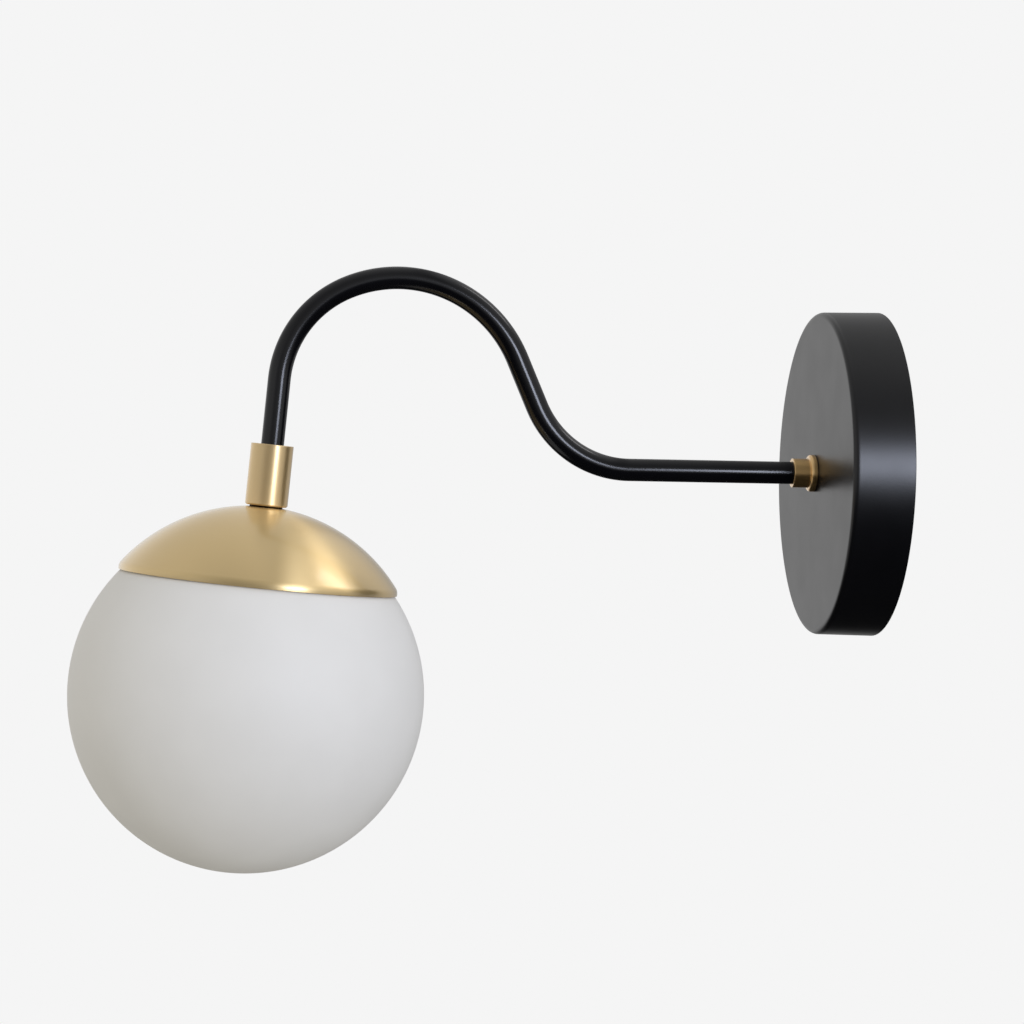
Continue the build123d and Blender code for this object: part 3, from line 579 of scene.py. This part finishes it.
def two_tones(tree, mask, dark, light):
    """Colour between two tones by a mask."""
    return mixed(tree, mask, (*dark, 1), (*light, 1), data_type="RGBA")


def skinned(name, dark, light, gloss, grain, relief, **shader):
    """Coat, plating, glaze or moulding: two near tones in patches, a range of gloss, a fine skin."""
    material, tree, principled = new_material(name, **shader)
    skin = use(tree, SKIN, Grain=grain, Gloss_low=gloss[0], Gloss_high=gloss[1])
    tone = two_tones(tree, skin["Patches"], dark, light)
    tree.links.new(tone, principled.inputs["Base Color"])
    tree.links.new(skin["Roughness"], principled.inputs["Roughness"])
    bump(tree, principled, skin["Height"], relief, skin_relief)
    return material


def satin_brass(name, gloss, spread, dark, light):
    """Satin brass, brushed round its axis and lacquered. The shine spreads across the brushing,
    so the tangent that runs round the axis is turned a quarter. In its joints the brass is painted
    dark as shade."""
    material, tree, principled = new_material(
        name, Metallic=1.0, Anisotropic=spread, Anisotropic_Rotation=0.25,
        Coat_Weight=1.0, Coat_Roughness=0.15,
    )
    brushed = use(
        tree, BRUSHING, Lines=brass_lines, Rough_low=gloss - brushed_gloss, Rough_high=gloss + brushed_gloss
    )
    brass_tone = two_tones(tree, brushed["Tone"], dark, light)
    # Painted shade: the brass turns dark where its profile lies in a joint.
    tone = mixed(tree, brushed["Recess"], brass_tone, painted_joint_shade, data_type="RGBA")
    tangent = add(tree, "ShaderNodeTangent", direction_type="UV_MAP", uv_map=turn_map)
    tree.links.new(tone, principled.inputs["Base Color"])
    tree.links.new(brushed["Roughness"], principled.inputs["Roughness"])
    tree.links.new(tangent.outputs[0], principled.inputs["Tangent"])
    bump(tree, principled, brushed["Height"], brushed_share, brushed_relief)
    return material


def earth_insulation():
    """Green-and-yellow striped core."""
    material, tree, principled = new_material("earth_insulation", Roughness=0.42)
    stripes = use(tree, CORE_STRIPES, Stripes=170.0)
    tone = two_tones(tree, stripes["Mask"], (0.05, 0.30, 0.06), (0.72, 0.62, 0.04))
    tree.links.new(tone, principled.inputs["Base Color"])
    return material


canopy_coat = skinned(
    "canopy_coat", dark=(0.0010, 0.0010, 0.0018), light=(0.0014, 0.0014, 0.0024),
    gloss=(0.30, 0.325), grain=1400.0, relief=0.2, IOR=1.5,
)
arm_coat = skinned(
    "arm_coat", dark=(0.0020, 0.0020, 0.0030), light=(0.0030, 0.0030, 0.0042),
    gloss=(0.17, 0.20), grain=1400.0, relief=0.12, IOR=1.45,
)
opal = skinned(
    "opal_glass", dark=(0.80, 0.785, 0.75), light=(0.815, 0.80, 0.765),
    gloss=(0.55, 0.6), grain=250.0, relief=0.03, IOR=1.5,
)
# Painted reflection: the collar's brass is a darker, more orange copy of the coupler's, for the black
# canopy face it mirrors.
shaded_collar_brass = satin_brass(
    "shaded_collar_brass", gloss=0.36, spread=0.6, dark=(0.80, 0.51, 0.20), light=(0.88, 0.59, 0.26)
)
turned_brass = satin_brass(
    "turned_brass", gloss=0.44, spread=0.7, dark=(0.92, 0.68, 0.34), light=(0.96, 0.72, 0.38)
)
spun_brass = satin_brass(
    "spun_brass", gloss=0.41, spread=0.84, dark=(0.92, 0.685, 0.33), light=(0.96, 0.725, 0.36)
)

# Finishes of the pieces behind the canopy, in the arm and under the cap: dark tone, light tone,
# roughness from and to, grain and relief.
INNER_METALS = {
    "zinc_steel": ((0.56, 0.56, 0.55), (0.66, 0.66, 0.64), (0.26, 0.38), 2200.0, 0.2),
    "spring_steel": ((0.38, 0.39, 0.41), (0.46, 0.47, 0.50), (0.24, 0.34), 1800.0, 0.15),
    "plain_brass": ((0.62, 0.45, 0.20), (0.72, 0.56, 0.28), (0.22, 0.36), 2600.0, 0.15),
    "contact_bronze": ((0.55, 0.33, 0.18), (0.66, 0.42, 0.25), (0.25, 0.38), 2600.0, 0.15),
    "pin_metal": ((0.64, 0.62, 0.58), (0.74, 0.72, 0.69), (0.16, 0.24), 2600.0, 0.1),
}
INNER_MOULDINGS = {
    "white_ceramic": ((0.80, 0.79, 0.75), (0.86, 0.85, 0.82), (0.20, 0.34), 600.0, 0.2),
    "block_plastic": ((0.74, 0.74, 0.71), (0.80, 0.80, 0.78), (0.42, 0.52), 1500.0, 0.2),
    "black_plastic": ((0.018, 0.018, 0.018), (0.03, 0.03, 0.03), (0.40, 0.52), 1500.0, 0.2),
    "silicone": ((0.66, 0.64, 0.59), (0.74, 0.72, 0.68), (0.52, 0.64), 900.0, 0.2),
    "lead_sheath": ((0.70, 0.70, 0.67), (0.77, 0.77, 0.75), (0.42, 0.54), 1300.0, 0.25),
    "brown_insulation": ((0.15, 0.060, 0.025), (0.21, 0.090, 0.040), (0.36, 0.46), 1600.0, 0.2),
    "blue_insulation": ((0.035, 0.13, 0.38), (0.055, 0.17, 0.48), (0.36, 0.46), 1600.0, 0.2),
    "frosted_cover": ((0.84, 0.84, 0.81), (0.88, 0.88, 0.86), (0.48, 0.56), 700.0, 0.1),
    "lamp_plastic": ((0.82, 0.82, 0.79), (0.87, 0.87, 0.85), (0.26, 0.36), 1500.0, 0.15),
    "board": ((0.76, 0.77, 0.72), (0.83, 0.84, 0.80), (0.30, 0.42), 1800.0, 0.15),
    "chips": ((0.78, 0.58, 0.09), (0.86, 0.68, 0.15), (0.30, 0.40), 1800.0, 0.1),
}
inner_finishes = {"black_coat": canopy_coat, "earth_insulation": earth_insulation()}
for name, look in INNER_METALS.items():
    inner_finishes[name] = skinned(name, *look, Metallic=1.0)
for name, look in INNER_MOULDINGS.items():
    inner_finishes[name] = skinned(name, *look)

# ---------------------------------------------------------------- the shown pieces
shown = [
    (canopy_dish(), canopy_coat, "black_coat", "wall_light", "canopy_shell"),
    (swan_neck(), arm_coat, "black_coat", "wall_light", "arm_tube"),
    (canopy_collar(), shaded_collar_brass, "satin_brass", "wall_light", "canopy_ferrule"),
    (head_coupler(), turned_brass, "satin_brass", "wall_light", "head_ferrule"),
    (dome_cap(), spun_brass, "satin_brass", "wall_light", "globe_cap"),
    (opal_globe(), opal, "opal_glass", "globe", "globe_glass"),
]
replaced = []
for piece, material, slot, body, node in shown:
    piece.data.materials.append(material)
    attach(piece, body)
    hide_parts(node)
    replaced.append(node)

for name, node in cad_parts.items():
    if name not in replaced:
        for place in node.material_slots:
            place.material = inner_finishes[place.material.name]

# ---------------------------------------------------------------- camera, at the photograph's view
focal_pixels = 3000.0
frame_pixels = 1024.0
sensor_width = 36.0                # millimetres, as the lens is
camera_place = Vector((1.2680, -0.3346, 0.0115))
yaw, pitch, roll = radians(-7.94), radians(-1.36), radians(1.14)


def photo_camera():
    """Camera that looks along (-cos yaw cos pitch, -sin yaw cos pitch, sin pitch), rolled."""
    forward = Vector((-cos(yaw) * cos(pitch), -sin(yaw) * cos(pitch), sin(pitch)))
    level = forward.cross(Vector((0, 0, 1))).normalized()
    upright = level.cross(forward)
    right = level * cos(roll) + upright * sin(roll)
    up = upright * cos(roll) - level * sin(roll)
    camera = bpy.data.objects.new("camera", bpy.data.cameras.new("camera"))
    camera.data.sensor_width = sensor_width
    camera.data.lens = focal_pixels / frame_pixels * sensor_width
    camera.data.clip_start = 0.05
    camera.data.clip_end = 50.0
    axes = Matrix((right, up, -forward)).transposed().to_4x4()
    camera.matrix_world = Matrix.Translation(camera_place) @ axes
    bpy.context.scene.collection.objects.link(camera)
    bpy.context.scene.camera = camera


photo_camera()


# ---------------------------------------------------------------- studio lamps
def softbox(name, place, aim, width, height, power, colour):
    """Rectangular lamp at a place, facing a point."""
    light = bpy.data.lights.new(name, "AREA")
    light.shape = "RECTANGLE"
    light.size, light.size_y = width, height
    light.energy = power
    light.color = colour
    lamp = bpy.data.objects.new(name, light)
    lamp.location = place
    lamp.rotation_euler = (Vector(aim) - Vector(place)).to_track_quat("-Z", "Y").to_euler()
    bpy.context.scene.collection.objects.link(lamp)


softbox(
    "window", place=(1.18, 0.35, 0.15), aim=(0, -0.15, 0),
    width=0.40, height=0.38, power=5.4, colour=(0.92, 0.99, 1.2),
)
softbox(
    "overhead", place=(-0.22, 2.22, 2.56), aim=(0, -0.27, -0.03),
    width=0.75, height=1.3, power=10.0, colour=(1.0, 0.985, 1.0),
)

# ---------------------------------------------------------------- studio world
# Directions in it are x towards the camera, y towards the wall and z up, each from -1 to 1.
backdrop_tone = 0.913              # the pale grey behind the lamp
white = (1, 1, 1, 1)

# Tones round the room at eye height: angle from the front (+X) towards the wall (+Y), and grey.
SIDE_TONES = [
    (-180, 0.78), (-165, 0.80), (-120, 0.62), (-100, 0.66), (-50, 0.68), (-25, 0.34), (0, 0.42),
    (45, 0.80), (70, 0.70), (110, 0.66), (160, 0.50), (180, 0.78),
]

# Tones of the ceiling, from in front of the wall (-1) to behind it (+1), with a dark beam.
CEILING_TONES = [
    (-1.0, 0.50), (-0.4, 0.53), (-0.1, 0.60), (0.05, 0.67), (0.16, 0.63), (0.21, 0.34),
    (0.29, 0.34), (0.36, 0.72), (0.50, 0.86), (0.76, 0.86), (0.85, 0.60), (1.0, 0.50),
]

side_top = (0.1, 0.6)              # z, where the sides go over into the ceiling
ceiling_front = (0.1, 0.7)         # x, where the ceiling dims towards the camera
ceiling_front_share = 0.56         # of its tone
far_corner = (1.1, 1.3)            # y - x, where the corner behind the lamp dims at the wall
far_corner_share = 0.7
floor_edge = (-0.32, 0.0)          # z, from the dark below to the lit room
floor_back = (0.0, -0.8)           # x, where that edge sinks behind the lamp
floor_back_drop = 0.22
floor_tone = 0.01

fill_height = (-1.0, 0.6)          # z, and the strength of the fill from there
fill_strength = (0.46, 0.62)
fill_open_side = (-1.0, 0.0)       # y, and what the side away from the wall adds
fill_open_strength = (0.09, 0.0)
warm_from = (0.0, -0.6, -0.8)      # low on the side away from the wall
warm_reach = (-0.2, 1.0)           # towards that direction
warm_tint = (1.0, 0.96, 0.86, 1)


def grey_ramp(tree, where, tones, span):
    """Greys over a span with 0 at its middle, read at a share of it."""
    ramp = add(tree, "ShaderNodeValToRGB", {0: where})
    stops = ramp.color_ramp.elements
    while len(stops) < len(tones):
        stops.new(0.5)
    for stop, (place, grey) in zip(stops, tones):
        stop.position = place / span + 0.5
        stop.color = (grey, grey, grey, 1)
    return ramp.outputs["Color"]


def mirrored_room(tree, towards, x, y, z):
    """Grey of the room that metal and coat mirror: its sides, the ceiling over them, dimmer
    towards the camera, a dimmer far corner at the wall, and near black below."""
    turn = add(tree, "ShaderNodeTexGradient", {"Vector": towards}, gradient_type="RADIAL").outputs["Fac"]
    sides = grey_ramp(tree, turn, SIDE_TONES, 360.0)
    beams = grey_ramp(tree, mapped(tree, y, (-1.0, 1.0)), CEILING_TONES, 2.0)
    front = mapped(tree, x, ceiling_front, (1.0, ceiling_front_share))
    ceiling = maths(tree, "MULTIPLY", beams, front)
    room = mixed(tree, mapped(tree, z, side_top), sides, ceiling)
    corner = mapped(tree, maths(tree, "SUBTRACT", y, x), far_corner, (1.0, far_corner_share))
    upper = maths(tree, "MULTIPLY", room, corner)
    raised = maths(tree, "ADD", z, mapped(tree, x, floor_back, (0.0, floor_back_drop)))
    lit = mapped(tree, raised, floor_edge, interpolation_type="SMOOTHSTEP")
    return mixed(tree, lit, floor_tone, upper)


def even_fill(tree, towards, y, z):
    """Strength and tint of the light on matt surfaces: stronger from above and from the side away
    from the wall, and warmer from below on that side."""
    from_above = mapped(tree, z, fill_height, fill_strength)
    from_open_side = mapped(tree, y, fill_open_side, fill_open_strength)
    low = vectors(tree, "DOT_PRODUCT", towards, warm_from)["Value"]
    tint = mixed(tree, mapped(tree, low, warm_reach), white, warm_tint, data_type="RGBA")
    return maths(tree, "ADD", from_above, from_open_side), tint


def studio_world():
    """Pale backdrop for the camera and through glass, the mirrored room for metal and coat, and
    the even fill for all other light."""
    world = bpy.data.worlds.new("studio")
    world.use_nodes = True
    bpy.context.scene.world = world
    tree = world.node_tree
    background = tree.nodes["Background"]
    towards = add(tree, "ShaderNodeTexCoord").outputs["Generated"]
    x, y, z = add(tree, "ShaderNodeSeparateXYZ", {0: towards}).outputs
    ray = add(tree, "ShaderNodeLightPath").outputs
    mirrored = ray["Is Glossy Ray"]
    seen = mixed(tree, mirrored, backdrop_tone, mirrored_room(tree, towards, x, y, z))
    shown_or_mirrored = maths(tree, "MAXIMUM", ray["Is Camera Ray"], mirrored)
    direct = maths(tree, "MAXIMUM", shown_or_mirrored, ray["Is Transmission Ray"])
    fill, tint = even_fill(tree, towards, y, z)
    strength = mixed(tree, direct, fill, seen)
    colour = mixed(tree, direct, tint, white, data_type="RGBA")
    tree.links.new(strength, background.inputs["Strength"])
    tree.links.new(colour, background.inputs["Color"])


studio_world()
bpy.context.scene.view_settings.view_transform = "Standard"
